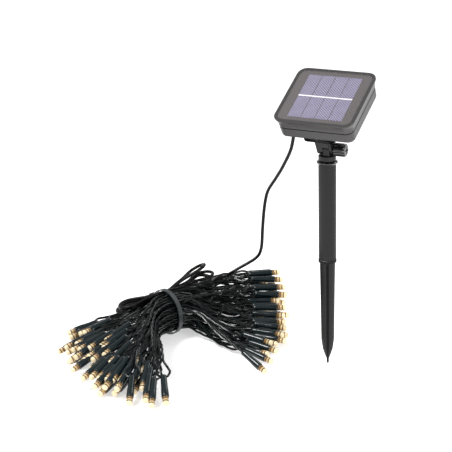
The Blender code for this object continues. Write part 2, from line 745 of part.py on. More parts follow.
def make_knob(plastic, knob_axis):
    levels = (
        (5.0, 0.0, KNOB_LEFT), (KNOB_RADIUS - 0.9, 0.0, KNOB_LEFT + 0.1), (KNOB_RADIUS, 0.6, KNOB_LEFT + 1.2),
        (KNOB_RADIUS, 0.9, KNOB_RIGHT - 1.4), (KNOB_RADIUS - 1.2, 0.4, KNOB_RIGHT - 0.1),
        (4.6, 0.0, KNOB_RIGHT),
    )
    knob = skin("tilt_knob", [knob_ring(*level) for level in levels], plastic, knob_axis)
    bore(knob, "knob_bolt_hole", ((2.2, KNOB_LEFT - 1.0), (2.2, KNOB_RIGHT - 3.6)), knob_axis, count=24)
    for number, (half_a, half_b) in enumerate(((3.6, 0.7), (0.7, 3.6)), 1):
        low, high = (-half_a, -half_b, KNOB_RIGHT - 1.2), (half_a, half_b, KNOB_RIGHT + 1.0)
        combine(knob, block(f"knob_slot_{number}", low, high, plastic, knob_axis), "DIFFERENCE")
    return knob


# ---------------------------------------------------------------- lead, lamps and hank


def head_point(u, v, w):
    """A point of the head's frame, in the shared frame."""
    tilt = Matrix.Rotation(math.radians(HEAD_TILT_DEG), 3, "X")
    return tilt @ Vector((u, v, w)) + Vector((0.0, 0.0, HINGE_Z))


def make_lead(cord):
    start = head_point(HEAD_U + GLAND_U, GLAND_V, GLAND_TIP_W - GAP)
    next_point = head_point(HEAD_U + GLAND_U, GLAND_V, GLAND_TIP_W - 4.0)
    tube("lead_upper", (start, next_point, *LEAD_UPPER_ROUTE), LEAD_RADIUS, cord)
    tube("lead_lower", LEAD_LOWER_ROUTE, LEAD_RADIUS, cord)


def make_lamp(number, tip, heading_deg, slope_deg, plastic, clear):
    heading, slope = math.radians(heading_deg), math.radians(slope_deg)
    level = math.cos(slope)
    along = Vector((math.cos(heading) * level, math.sin(heading) * level, -math.sin(slope)))
    place = make_axis(f"lamp_axis_{number}", tip)
    place.rotation_euler = along.to_track_quat("Z", "Y").to_euler()
    lens = (
        (2.6, -LENS_LENGTH), (LENS_RADIUS, -LENS_LENGTH + 0.4), (LENS_RADIUS, -3.2), (2.7, -2.9),
        (2.9, -2.2), (2.3, -0.8), (1.0, 0.0),
    )
    turned(f"lamp_lens_{number}", lens, clear, place, 16)
    back = -LENS_LENGTH - GAP
    tail = back - HOLDER_LENGTH
    holder = (
        (HOLDER_TAIL_RADIUS - 0.8, tail), (HOLDER_TAIL_RADIUS, tail + 0.8),
        (HOLDER_FRONT_RADIUS - 0.3, back - 9.0), (HOLDER_FRONT_RADIUS, back - 8.6),
        (HOLDER_FRONT_RADIUS, back - 0.5), (HOLDER_FRONT_RADIUS - 0.5, back),
    )
    turned(f"lamp_holder_{number}", holder, plastic, place, 16)


def waist_side(end, side):
    """A corner of the waist's flat end, seen from above. side is 1 on the inner side of the bend."""
    heading = math.radians(WAIST_HEADING_DEG)
    along = Vector((math.cos(heading), math.sin(heading)))
    across = Vector((math.sin(heading), -math.cos(heading)))
    middle = Vector(WAIST[:2]) + along * end * (WAIST_HALF_LENGTH + GAP)
    return middle + across * side * (WAIST_RADIUS - 1.0)


def fan_outline(start, edge, end):
    route = [(start.x, start.y, 0.0)] + [(x, y, 0.0) for x, y in edge] + [(end.x, end.y, 0.0)]
    return [(point.x, point.y) for point in smooth_line(route, 9.0)]


def inset(outline, amount):
    """The outline moved inwards, for an outline that runs counter-clockwise."""
    moved = []
    count = len(outline)
    for i, (x, y) in enumerate(outline):
        before, after = Vector(outline[i - 1]), Vector(outline[(i + 1) % count])
        along = (after - before).normalized()
        moved.append((x - along.y * amount, y + along.x * amount))
    return moved


def make_fan(name, outline, height, cord):
    levels = ((2.0, FAN_BASE_Z), (0.0, 4.0), (0.0, height - 9.0), (2.5, height - 3.0), (6.0, height))
    ends = (0, len(outline) - 1)
    rings = []
    for amount, z in levels:
        ring = inset(outline, amount)
        for end in ends:
            ring[end] = outline[end]
        rings.append([(x, y, z) for x, y in ring])
    return skin(name, rings, cord)


def make_hank(cord, strap_plastic):
    heading = math.radians(WAIST_HEADING_DEG)
    axis = make_axis("waist_axis", WAIST, (math.pi / 2.0, 0.0, heading + math.pi / 2.0))
    half = WAIST_HALF_LENGTH
    waist = (
        (WAIST_RADIUS - 1.5, -half), (WAIST_RADIUS, -half + 1.5), (WAIST_RADIUS, half - 1.5),
        (WAIST_RADIUS - 1.5, half),
    )
    turned("hank_waist", waist, cord, axis, 36)
    right = fan_outline(waist_side(1, 1), RIGHT_FAN_EDGE, waist_side(1, -1))
    make_fan("hank_right_fan", right, RIGHT_FAN_HEIGHT, cord)
    left = fan_outline(waist_side(-1, -1), LEFT_FAN_EDGE, waist_side(-1, 1))
    make_fan("hank_left_fan", left, LEFT_FAN_HEIGHT, cord)
    inner = WAIST_RADIUS + GAP
    outer = inner + STRAP_THICKNESS
    half = STRAP_WIDTH / 2.0
    profile = ((inner, -half), (outer, -half), (outer, half), (inner, half))
    turned("cable_tie_strap", profile, strap_plastic, axis, 48, ringed=True)
    tie = make_axis("tie_head_axis", (0.0, 0.0, 0.0), (0.0, 0.0, math.radians(20.0)), axis)
    low = outer + GAP
    block("cable_tie_head", (low, -4.2, -3.6), (low + 5.0, 4.2, 3.6), strap_plastic, tie, 0.8)


# ---------------------------------------------------------------- the whole object


def build():
    clear_scene()
    black_plastic = make_material("black_plastic", (0.035, 0.035, 0.037), 0.45)
    shell_plastic = make_material("shell_plastic", (0.075, 0.075, 0.08), 0.5)
    black_rubber = make_material("black_rubber", (0.02, 0.02, 0.02), 0.7)
    steel = make_material("zinc_steel", (0.62, 0.62, 0.6), 0.35, 1.0)
    board = make_material("board_laminate", (0.11, 0.095, 0.075), 0.4)
    silicon = make_material("silicon_cell", (0.3, 0.3, 0.46), 0.3)
    silver = make_material("tinned_ribbon", (0.85, 0.85, 0.85), 0.3, 0.6)
    window = make_material("clear_window", (0.3, 0.28, 0.25), 0.08)
    sleeve = make_material("battery_sleeve", (0.1, 0.25, 0.12), 0.4)
    cord = make_material("cord_green_black", (0.012, 0.02, 0.018), 0.3)
    holder_plastic = make_material("lamp_green_black", (0.01, 0.022, 0.022), 0.25)
    clear = make_material("lamp_clear", (0.9, 0.78, 0.5), 0.1)

    make_spike(black_plastic)
    make_lower_collar(black_plastic)
    make_stake_tube(black_plastic)
    make_tube_ring(black_plastic)

    swivel_axis = make_axis("swivel_axis", (0.0, 0.0, RING_TOP_Z + GAP))
    make_neck(black_plastic, swivel_axis)
    head = make_axis("tilt_axis", (0.0, 0.0, HINGE_Z), (math.radians(HEAD_TILT_DEG), 0.0, 0.0))
    housing = make_axis("housing_axis", (HEAD_U, 0.0, 0.0), parent=head)
    make_upper_frame(shell_plastic, housing)
    make_lower_shell(shell_plastic, housing)
    make_gasket(black_rubber, housing)
    make_housing_screws(steel, housing)
    make_panel(board, silicon, silver, window, housing)
    make_circuit_board(board, housing)
    make_battery(sleeve, steel, housing)
    make_battery_holder(black_plastic, housing)
    make_battery_cover(shell_plastic, steel, housing)
    make_buttons(black_rubber, black_plastic, housing)
    make_gland(black_rubber, housing)
    make_bracket(black_plastic, housing, head)
    make_bracket_screws(steel, housing)
    make_nut(steel, head)

    knob_axis = make_axis("knob_axis", (0.0, 0.0, HINGE_Z), (0.0, math.pi / 2.0, 0.0))
    make_bolt(steel, knob_axis)
    make_knob(black_plastic, knob_axis)

    make_lead(cord)
    for number, (tip, heading, slope) in enumerate(LOOSE_LAMPS, 1):
        make_lamp(number, tip, heading, slope, holder_plastic, clear)
    make_hank(cord, black_plastic)


build()
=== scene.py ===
"""The looks of the solar string lights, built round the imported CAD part."""

import math

import bpy
import numpy as np
from mathutils import Matrix, Vector


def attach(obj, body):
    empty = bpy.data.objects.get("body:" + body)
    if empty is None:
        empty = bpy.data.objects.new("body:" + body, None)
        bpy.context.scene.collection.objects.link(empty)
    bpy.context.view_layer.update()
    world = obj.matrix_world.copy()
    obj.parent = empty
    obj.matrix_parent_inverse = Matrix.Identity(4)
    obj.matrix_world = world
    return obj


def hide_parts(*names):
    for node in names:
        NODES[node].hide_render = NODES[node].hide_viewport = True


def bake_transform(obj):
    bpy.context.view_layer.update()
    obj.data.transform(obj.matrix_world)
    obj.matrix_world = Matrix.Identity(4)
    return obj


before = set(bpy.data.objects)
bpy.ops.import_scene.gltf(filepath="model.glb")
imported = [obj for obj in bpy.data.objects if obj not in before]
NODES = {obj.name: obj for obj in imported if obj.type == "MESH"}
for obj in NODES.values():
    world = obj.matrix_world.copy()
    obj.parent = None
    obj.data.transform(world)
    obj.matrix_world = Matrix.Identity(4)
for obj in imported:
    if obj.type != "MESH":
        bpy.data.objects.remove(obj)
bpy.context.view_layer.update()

MM = 0.001
DICE = np.random.default_rng(41)


def unit(vector):
    """The vector scaled to a length of one."""
    vector = np.asarray(vector, float)
    return vector / np.linalg.norm(vector)


# ---------------------------------------------------------------- camera

AZIMUTH = math.radians(26.9)
ELEVATION = math.radians(19.0)
ROLL = math.radians(-1.28)
CAMERA_PLACE = (0.4903, -1.1293, 0.5736)
CAMERA_LENS = 104.4
CAMERA_SHIFT = -0.06
VIEW_RIGHT = np.array([math.cos(AZIMUTH), math.sin(AZIMUTH), 0.0])
VIEW_AWAY = np.array([-math.sin(AZIMUTH), math.cos(AZIMUTH), 0.0])


def make_camera():
    """The camera, at the photo's point of view."""
    forward = VIEW_AWAY * math.cos(ELEVATION) - np.array([0.0, 0.0, math.sin(ELEVATION)])
    up = np.cross(VIEW_RIGHT, forward)
    # The camera leans a little to one side
    turned_right = VIEW_RIGHT * math.cos(ROLL) + up * math.sin(ROLL)
    turned_up = -VIEW_RIGHT * math.sin(ROLL) + up * math.cos(ROLL)
    data = bpy.data.cameras.new("camera")
    data.lens = CAMERA_LENS
    data.sensor_width = 36.0
    data.shift_x = CAMERA_SHIFT
    data.clip_start = 0.05
    data.clip_end = 50.0
    camera = bpy.data.objects.new("camera", data)
    matrix = Matrix.Identity(4)
    for row in range(3):
        matrix[row][0] = turned_right[row]
        matrix[row][1] = turned_up[row]
        matrix[row][2] = -forward[row]
        matrix[row][3] = CAMERA_PLACE[row]
    camera.matrix_world = matrix
    bpy.context.scene.collection.objects.link(camera)
    bpy.context.scene.camera = camera


# ---------------------------------------------------------------- paths

NECK_POINTS = 9
ARC_POINTS = 15


def hermite(start, start_pull, end, end_pull, count):
    """Points along a cubic from start to end, with a pull along the curve at each."""
    t = np.linspace(0.0, 1.0, count)[:, None]
    return (
        (2 * t**3 - 3 * t**2 + 1) * start
        + (t**3 - 2 * t**2 + t) * start_pull
        + (3 * t**2 - 2 * t**3) * end
        + (t**3 - t**2) * end_pull
    )


def smooth_route(route, per_leg=24):
    """A Catmull-Rom curve through the route."""
    stops = np.asarray(route, float)
    stops = np.vstack([2 * stops[0] - stops[1], stops, 2 * stops[-1] - stops[-2]])
    legs = []
    for i in range(len(stops) - 3):
        a, b, c, d = stops[i : i + 4]
        t = np.linspace(0.0, 1.0, per_leg, endpoint=False)[:, None]
        pull = (c - a) * t + (2 * a - 5 * b + 4 * c - d) * t**2 + (3 * b - a - 3 * c + d) * t**3
        legs.append(b + 0.5 * pull)
    legs.append(stops[-2:-1])
    return np.vstack(legs)


def resample(path, spacing):
    """The same path with evenly spaced points."""
    steps = np.linalg.norm(np.diff(path, axis=0), axis=1)
    keep = np.concatenate([[True], steps > 1e-7])
    path = path[keep]
    along = np.concatenate([[0.0], np.cumsum(np.linalg.norm(np.diff(path, axis=0), axis=1))])
    count = max(3, int(round(along[-1] / spacing)) + 1)
    wanted = np.linspace(0.0, along[-1], count)
    return np.column_stack([np.interp(wanted, along, path[:, axis]) for axis in range(3)])


def soften(path, passes):
    """Rounds small kinks, leaving both ends in place."""
    path = path.copy()
    for _ in range(passes):
        path[1:-1] = 0.25 * path[:-2] + 0.5 * path[1:-1] + 0.25 * path[2:]
    return path


def teardrop(neck, outward, lateral, radius, gap, reach):
    """A turn that opens from a narrow neck, goes round a circle and closes again."""
    share = np.linspace(0.0, 1.0, NECK_POINTS)[:, None]
    swell = gap + (radius - gap) * share**2 * (3 - 2 * share)
    out = neck + outward * reach * share + lateral * swell
    back = neck + outward * reach * share[::-1] - lateral * swell[::-1]
    turn = np.linspace(math.pi / 2, -math.pi / 2, ARC_POINTS)[:, None]
    arc = neck + outward * (reach + radius * np.cos(turn)) + lateral * radius * np.sin(turn)
    return np.vstack([out, arc[1:-1], back])


def frames_along(path):
    """Tangents and a pair of side directions that don't twist."""
    tangents = np.gradient(path, axis=0)
    tangents /= np.linalg.norm(tangents, axis=1)[:, None]
    side = np.cross(tangents[0], [0.0, 0.0, 1.0])
    if np.linalg.norm(side) < 1e-3:
        side = np.cross(tangents[0], [1.0, 0.0, 0.0])
    side = unit(side)
    sides = np.empty_like(path)
    for i, tangent in enumerate(tangents):
        side = side - tangent * (side @ tangent)
        side = side / math.sqrt(side @ side)
        sides[i] = side
    return tangents, sides, np.cross(tangents, sides)


# ---------------------------------------------------------------- meshes

SHARP_DEG = 50.0  # edges sharper than this stay sharp
WIRE_FIT = 0.98  # how closely twisted wires lie together


def add_piece(name, vertices, faces, materials, slots=None):
    """A mesh object. slots gives each face's place in materials."""
    mesh = bpy.data.meshes.new(name)
    vertices = np.asarray(vertices, np.float32)
    mesh.vertices.add(len(vertices))
    mesh.vertices.foreach_set("co", vertices.ravel())
    sizes = np.array([len(face) for face in faces])
    corners = np.concatenate([np.asarray(face) for face in faces]).astype(np.int32)
    mesh.loops.add(len(corners))
    mesh.loops.foreach_set("vertex_index", corners)
    mesh.polygons.add(len(faces))
    starts = np.concatenate([[0], np.cumsum(sizes)[:-1]]).astype(np.int32)
    mesh.polygons.foreach_set("loop_start", starts)
    if slots is not None:
        mesh.polygons.foreach_set("material_index", np.asarray(slots, np.int32))
    mesh.update(calc_edges=True)
    mesh.validate()
    for material in materials:
        mesh.materials.append(material)
    mesh.shade_smooth()
    mesh.set_sharp_from_angle(angle=math.radians(SHARP_DEG))
    piece = bpy.data.objects.new(name, mesh)
    bpy.context.scene.collection.objects.link(piece)
    return piece


def tube_rings(path, radius, sides, offsets=None):
    """Rings of points round a path. offsets moves each ring's centre."""
    _, first, second = frames_along(path)
    turns = 2 * math.pi * np.arange(sides) / sides
    centre = path if offsets is None else path + offsets
    return (
        centre[:, None, :]
        + radius * np.cos(turns)[None, :, None] * first[:, None, :]
        + radius * np.sin(turns)[None, :, None] * second[:, None, :]
    )


def skin_rings(rings, base=0):
    """Quads between rings, with a cap at each end. base is the index of the first point."""
    count, sides = rings.shape[:2]
    low = base + np.arange(count - 1)[:, None] * sides
    i = np.arange(sides)[None, :]
    j = (i + 1) % sides
    quads = np.stack([low + i, low + j, low + sides + j, low + sides + i], axis=-1).reshape(-1, 4)
    faces = list(quads)
    faces.append(base + np.arange(sides)[::-1])
    faces.append(base + (count - 1) * sides + np.arange(sides))
    return faces


def tube_piece(name, path, radius, sides, material):
    """A round cord along the path."""
    rings = tube_rings(path, radius, sides)
    return add_piece(name, rings.reshape(-1, 3), skin_rings(rings), [material])


def twisted_piece(name, path, wire_radius, wires, pitch, sides, material):
    """Round wires twisted round each other along the path."""
    _, first, second = frames_along(path)
    along = np.concatenate([[0.0], np.cumsum(np.linalg.norm(np.diff(path, axis=0), axis=1))])
    swing = WIRE_FIT * wire_radius / math.sin(math.pi / wires)
    points, faces = [], []
    for wire in range(wires):
        turn = 2 * math.pi * (along / pitch + wire / wires)
        offset = swing * (np.cos(turn)[:, None] * first + np.sin(turn)[:, None] * second)
        rings = tube_rings(path, wire_radius, sides, offset)
        faces += skin_rings(rings, base=sum(len(block) for block in points))
        points.append(rings.reshape(-1, 3))
    return add_piece(name, np.vstack(points), faces, [material])


# ---------------------------------------------------------------- materials

COAT_ROUGHNESS = 0.08
GRAIN_DETAIL = 3.0
GRAIN_DEPTH = 0.0003  # metres
MOTTLE_DETAIL = 4.0


def shader_of(material):
    """The material's surface node."""
    return material.node_tree.nodes["Principled BSDF"]


def new_material(
    name, colour, roughness, metallic=0.0, coat=0.0, specular=0.5,
    bump=0.0, bump_scale=300.0, mottle=0.0, mottle_scale=40.0,
):
    """A plain surface. bump is the strength of a fine grain, and mottle how far the colour strays."""
    material = bpy.data.materials.new(name)
    material.use_nodes = True
    tree = material.node_tree
    shader = shader_of(material)
    shader.inputs["Base Color"].default_value = (*colour, 1.0)
    shader.inputs["Roughness"].default_value = roughness
    shader.inputs["Metallic"].default_value = metallic
    shader.inputs["Specular IOR Level"].default_value = specular
    shader.inputs["Coat Weight"].default_value = coat
    shader.inputs["Coat Roughness"].default_value = COAT_ROUGHNESS
    place = tree.nodes.new("ShaderNodeTexCoord")
    if bump:
        grain = tree.nodes.new("ShaderNodeTexNoise")
        grain.inputs["Scale"].default_value = bump_scale
        grain.inputs["Detail"].default_value = GRAIN_DETAIL
        tree.links.new(place.outputs["Object"], grain.inputs["Vector"])
        relief = tree.nodes.new("ShaderNodeBump")
        relief.inputs["Strength"].default_value = bump
        relief.inputs["Distance"].default_value = GRAIN_DEPTH
        tree.links.new(grain.outputs["Fac"], relief.inputs["Height"])
        tree.links.new(relief.outputs["Normal"], shader.inputs["Normal"])
    if mottle:
        patches = tree.nodes.new("ShaderNodeTexNoise")
        patches.inputs["Scale"].default_value = mottle_scale
        patches.inputs["Detail"].default_value = MOTTLE_DETAIL
        tree.links.new(place.outputs["Object"], patches.inputs["Vector"])
        spread = tree.nodes.new("ShaderNodeMapRange")
        spread.inputs["To Min"].default_value = 1.0 - mottle
        spread.inputs["To Max"].default_value = 1.0 + mottle
        tree.links.new(patches.outputs["Fac"], spread.inputs["Value"])
        tint = tree.nodes.new("ShaderNodeMix")
        tint.data_type = "RGBA"
        tint.blend_type = "MULTIPLY"
        tint.inputs["Factor"].default_value = 1.0
        tint.inputs["A"].default_value = (*colour, 1.0)
        tree.links.new(spread.outputs["Result"], tint.inputs["B"])
        tree.links.new(tint.outputs["Result"], shader.inputs["Base Color"])
    return material


CELL_SKEW = math.radians(38.0)  # the mesh runs askew to the object's axes
LINES_ACROSS, LINES_ALONG = 150.0, 165.0
CRYSTAL_SCALE = 160.0
CRYSTAL_SHARE = 0.12
BETWEEN_LINES, ON_LINES = (0.03, 0.028, 0.10, 1.0), (0.40, 0.37, 0.56, 1.0)


def cell_texture(tree, kind, scale, skew):
    """A procedural texture that follows the skewed axes."""
    texture = tree.nodes.new(kind)
    texture.inputs["Scale"].default_value = scale
    tree.links.new(skew.outputs["Vector"], texture.inputs["Vector"])
    return texture


def cell_material():
    """Silicon under a fine mesh of two sets of crossing lines, with a faint grain of crystals."""
    material = new_material("silicon_blue", (0.30, 0.29, 0.52), 0.25, coat=0.6)
    tree = material.node_tree
    skew = tree.nodes.new("ShaderNodeMapping")
    skew.inputs["Rotation"].default_value = (0.0, 0.0, CELL_SKEW)
    tree.links.new(tree.nodes["Texture Coordinate"].outputs["Object"], skew.inputs["Vector"])
    across = cell_texture(tree, "ShaderNodeTexWave", LINES_ACROSS, skew)
    across.bands_direction = "X"
    along = cell_texture(tree, "ShaderNodeTexWave", LINES_ALONG, skew)
    along.bands_direction = "Y"
    crystals = cell_texture(tree, "ShaderNodeTexVoronoi", CRYSTAL_SCALE, skew)
    both = tree.nodes.new("ShaderNodeMath")
    both.operation = "MAXIMUM"
    tree.links.new(across.outputs["Fac"], both.inputs[0])
    tree.links.new(along.outputs["Fac"], both.inputs[1])
    grain = tree.nodes.new("ShaderNodeMath")
    grain.operation = "MULTIPLY_ADD"
    grain.inputs[1].default_value = CRYSTAL_SHARE
    tree.links.new(crystals.outputs["Color"], grain.inputs[0])
    tree.links.new(both.outputs["Value"], grain.inputs[2])
    paint = tree.nodes.new("ShaderNodeValToRGB")
    paint.color_ramp.elements[0].position = 0.35
    paint.color_ramp.elements[0].color = BETWEEN_LINES
    paint.color_ramp.elements[1].position = 1.0
    paint.color_ramp.elements[1].color = ON_LINES
    tree.links.new(grain.outputs["Value"], paint.inputs["Fac"])
    tree.links.new(paint.outputs["Color"], shader_of(material).inputs["Base Color"])
    return material


def tube_material():
    """The stake's dark plastic, whose highlights stretch round the tube."""
    material = new_material("tube_dark", (0.009, 0.009, 0.010), 0.36, specular=0.24)
    around = material.node_tree.nodes.new("ShaderNodeTangent")
    around.direction_type = "RADIAL"
    around.axis = "Z"
    shader = shader_of(material)
    shader.inputs["Anisotropic"].default_value = 0.9
    material.node_tree.links.new(around.outputs["Tangent"], shader.inputs["Tangent"])
    return material


def ribbon_material():
    """Tinned ribbon, nearly white in the photo, so it glows a little: painted light, as the ribbon is no
    lamp.
    """
    material = new_material("tinned_silver", (0.95, 0.94, 0.96), 0.3, mottle=0.03, mottle_scale=200.0)
    shader = shader_of(material)
    # The glow is painted light that brightens the ribbon.
    shader.inputs["Emission Color"].default_value = (1.0, 0.97, 1.0, 1.0)
    shader.inputs["Emission Strength"].default_value = 0.35
    return material


def window_material():
    """Clear resin over the panel."""
    material = new_material("resin_window", (0.28, 0.26, 0.265), 0.08, mottle=0.03)
    shader_of(material).inputs["Alpha"].default_value = 0.16
    return material


def lens_finish(name, colour, roughness, glow, clear):
    """One of the lamp lens's finishes. clear is the share of light that it lets through, and glow is
    painted light that brightens it.
    """
    material = new_material(name, colour, roughness, coat=0.3, mottle=0.04, mottle_scale=600.0)
    shader = shader_of(material)
    shader.inputs["Transmission Weight"].default_value = clear
    shader.inputs["IOR"].default_value = 1.45
    # Painted light: the glow brightens the lens, most of all its dome.
    shader.inputs["Emission Color"].default_value = (1.0, 0.86, 0.60, 1.0)
    shader.inputs["Emission Strength"].default_value = glow
    return material


# ---------------------------------------------------------------- the string's layout

# Lengths and places are in millimetres
WIRE_RADIUS = 0.67
WIRES = 3
WIRE_SIDES = 5
TWIST_PITCH = 33.0
ROUGH_SPACING = 1.6
SOFTEN_PASSES = 3
STRING_SPACING = 2.1
LOWEST_STRING_Z = 1.6

# The lamps
HOLDER_LENGTH = 27.0
LENS_GAP = 0.3
LENS_LENGTH = 9.0
LAMP_LENGTH = HOLDER_LENGTH + LENS_GAP + LENS_LENGTH
LAMPS_LEFT, LAMPS_RIGHT = 55, 45
LOWEST_LAMP_Z = 4.0

# Lamps beneath those in sight: how far each may lie from the one above it
BACK_RANGE = (-4.0, 22.0)
ASIDE_RANGE = (-7.0, 7.0)
DROP_RANGE = (4.0, 19.0)
HEADING_RANGE = (-6.0, 6.0)  # degrees
FLATTER_RANGE = (2.0, 12.0)  # degrees
MOST_TRIES = 6000
STRICT_TRIES = 3000
APART, CLOSER_APART = 6.6, 5.0  # least distance between axes, in the strict tries and after them

# The tie, with the strands side by side through it
WAIST = np.array([-189.0, -1.0, 25.6])
WAIST_HEADING = math.radians(67.7)
ALONG = np.array([math.cos(WAIST_HEADING), math.sin(WAIST_HEADING), 0.0])
ACROSS = np.array([ALONG[1], -ALONG[0], 0.0])
UP = np.array([0.0, 0.0, 1.0])
SLOT_SPACING = 3.45
SLOT_REACH = 22.0
GATE_OUT = 7.0  # from the tie's middle to the gate at either end
LEFT_LEAVE_DEG = 247.6
RIGHT_LEAVE_DEG = 61.0
LEAVE_TURN = 0.8  # degrees by which the right strands spread, for each millimetre across
SPARE_RADIUS = 9.0  # slots that stay empty lie about this far from the tie's middle
LEAD_SLOTS = 11
LEAD_HEIGHT_WEIGHT = 1.1  # the lead takes the slots that lie high and towards the bend's outer side

# The string between the tie and the lamps
TURN_RADIUS = 7.0
TURN_REACH = 13.2
TURN_GAP = 1.25  # half the space between the two strands at a turn's neck
TURN_ROLL = 0.15  # radians
TURN_INTO_SLEEVE = 2.2
STRAND_PULL = 0.9
STRAND_POINTS = 40
STRAND_STRAY = 0.8
UPRIGHT_STRAY = 0.6  # strands stray less up and down
HEIGHT_SHUFFLE = 6.0
RETURN_RISE = 4.0
START_PULL = 60.0
START_POINTS = 30
END_INTO_SLEEVE = 2.0
END_STRAIGHT = 6.0
PAST_REACH = (16.0, 60.0)  # how far the loops without a lamp run beyond the tie
PAST_LIFT = (-2.0, 2.0)
PAST_RISE = (-0.05, 0.15)
PAST_LEAN = (-0.3, 0.3)
PAST_WIDER = (0.2, 2.5)
PAST_LONGER = 4.0
ARM_POINTS = 14

# Lamps in sight: the tip's place, then the heading and slope down in degrees. The photo was read by eye,
# and scratch work with this camera turned what was read into millimetres at heights that were guessed.
# The last ten on the right were added.
LEFT_LAMPS = [
    (-99.9, -158.8, 4, 303.3, 26), (-110.6, -168.7, 4, 294.3, 24), (-132.6, -173.4, 4, 294.3, 24),
    (-254.7, -115.5, 12, 240.5, 16),
    (-254, -96, 26, 241.4, 6), (-247, -103, 25, 243.5, 8),
    (-239, -97, 28, 245.5, 6), (-235, -95, 29, 247.6, 8),
    (-242, -119, 21, 241.5, 14), (-236, -126, 19, 243.5, 14), (-232, -122, 21, 245.6, 12),
    (-225, -120, 22, 249.7, 14), (-233, -113, 24, 247.6, 10), (-226, -136, 17, 247.6, 14),
    (-222, -132, 19, 251.7, 14), (-212, -138, 17, 253.8, 14), (-210, -134, 19, 255.8, 14),
    (-208, -129, 21, 255.8, 14), (-201, -132, 20, 257.9, 16), (-215, -117, 24, 251.7, 14),
    (-206, -118, 24, 251.7, 12), (-204, -112, 26, 253.8, 14), (-203, -103, 29, 251.7, 15),
    (-199, -114, 26, 255.8, 15), (-193, -123, 23, 257.9, 16), (-181, -131, 20, 260.9, 18),
    (-214, -150, 14, 251.7, 14), (-196, -159, 12, 255.9, 16), (-195, -149, 14, 259.9, 16),
    (-188, -155, 13, 262.0, 18), (-177, -167, 10, 264.0, 16), (-180, -154, 13, 264.0, 18),
    (-167, -164, 10, 268.1, 18), (-171, -154, 13, 268.1, 18), (-165, -153, 13, 270.1, 20),
    (-154, -162, 10, 272.2, 20), (-157, -151, 13, 272.2, 20), (-156, -142, 16, 276.2, 20),
    (-144, -151, 12, 280.3, 20), (-153, -122, 22, 296.5, 16), (-145, -130, 18, 298.4, 18),
    (-130, -153, 11, 288.3, 24), (-122, -159, 9, 290.3, 24), (-118, -167, 7, 292.4, 22),
]
RIGHT_LAMPS = [
    (-43.6, -54.8, 4, -19.3, 20), (-48.4, -29.6, 4, -9.5, 10),
    (-124, 144, 30, 28.7, 0), (-114, 130, 28, 26.8, 0), (-104, 115, 26, 24.8, 0), (-93, 102, 23, 23.8, 0),
    (-95, 85, 21, 22.9, 0), (-84, 75, 20, 21.9, 1), (-72, 61, 17, 19.9, 1), (-74, 45, 15, 18.0, 2),
    (-64, 37, 13, 15.0, 2), (-56, 24, 11, 11.1, 3), (-53, 13, 9, 7.1, 4), (-59, 4, 8, 1.3, 4),
    (-53, -8, 6, -4.6, 6),
    (-119, 137, 33, 30, -2), (-108, 122, 31, 23, 1), (-99, 109, 28, 27, -1), (-89, 92, 26, 21, 2),
    (-79, 68, 22, 24, 0), (-73, 53, 19, 16, 2), (-67, 41, 17, 20, 1), (-61, 31, 15, 12, 4),
    (-58, 18, 13, 9, 3), (-62, -2, 11, -3, 6),
]
# Lamps that are CAD nodes: the place in each list, which they open, and the node's number
CAD_LAMPS_LEFT = {0: 3, 1: 4, 2: 5, 3: 6}
CAD_LAMPS_RIGHT = {0: 1, 1: 2}


def lamp_line(lamp):
    """(tip, direction) of a lamp."""
    x, y, z, heading, slope = lamp
    h, s = math.radians(heading), math.radians(slope)
    direction = np.array([math.cos(h) * math.cos(s), math.sin(h) * math.cos(s), -math.sin(s)])
    return np.array([x, y, z], float), direction


def closeness(lamp, others):
    """The least distance between the axes of a lamp and of others."""
    tip, direction = lamp_line(lamp)
    share = np.linspace(0.0, LAMP_LENGTH, 8)[:, None]
    mine = tip - direction * share
    lines = np.array([lamp_line(other)[0] - lamp_line(other)[1] * share for other in others]).reshape(-1, 3)
    return float(np.linalg.norm(mine[:, None] - lines[None], axis=2).min())


def lamp_below(lamp):
    """A lamp beneath the one given, a little aside and flatter."""
    x, y, z, heading, slope = lamp
    _, direction = lamp_line(lamp)
    back, aside = DICE.uniform(*BACK_RANGE), DICE.uniform(*ASIDE_RANGE)
    drop = DICE.uniform(*DROP_RANGE)
    return (
        x - direction[0] * back - direction[1] * aside,
        y - direction[1] * back + direction[0] * aside,
        max(LOWEST_LAMP_Z, z - drop),
        heading + DICE.uniform(*HEADING_RANGE),
        max(0.0, slope - DICE.uniform(*FLATTER_RANGE)),
    )


def fill_below(shown, loose, wanted):
    """Adds the lamps beneath those in sight, kept apart from each other. None lies under a loose one."""
    lamps = list(shown)
    tries = 0
    while len(lamps) < wanted and tries < MOST_TRIES:
        tries += 1
        new = lamp_below(shown[int(DICE.integers(loose, len(shown)))])
        apart = APART if tries < STRICT_TRIES else CLOSER_APART
        if closeness(new, lamps) > apart:
            lamps.append(new)
    return lamps


def waist_slots():
    """Hexagonal places for the strands within the tie: columns of heights, each with its place across."""
    columns = []
    reach = int(SLOT_REACH / SLOT_SPACING) + 2
    for column in range(-reach, reach + 1):
        across = column * SLOT_SPACING * math.sqrt(3.0) / 2.0
        shift = 0.5 * SLOT_SPACING * (column % 2)
        heights = [row * SLOT_SPACING + shift for row in range(-reach, reach + 1)]
        heights = [h for h in heights if math.hypot(across, h) <= SLOT_REACH]
        if heights:
            columns.append((across, heights))
    return columns


def bearing(lamp):
    """How far round the fan a lamp lies, from the outer side of the bend inwards."""
    tip, _ = lamp_line(lamp)
    return math.degrees(math.atan2(tip[1] - WAIST[1], tip[0] - WAIST[0])) % 360.0


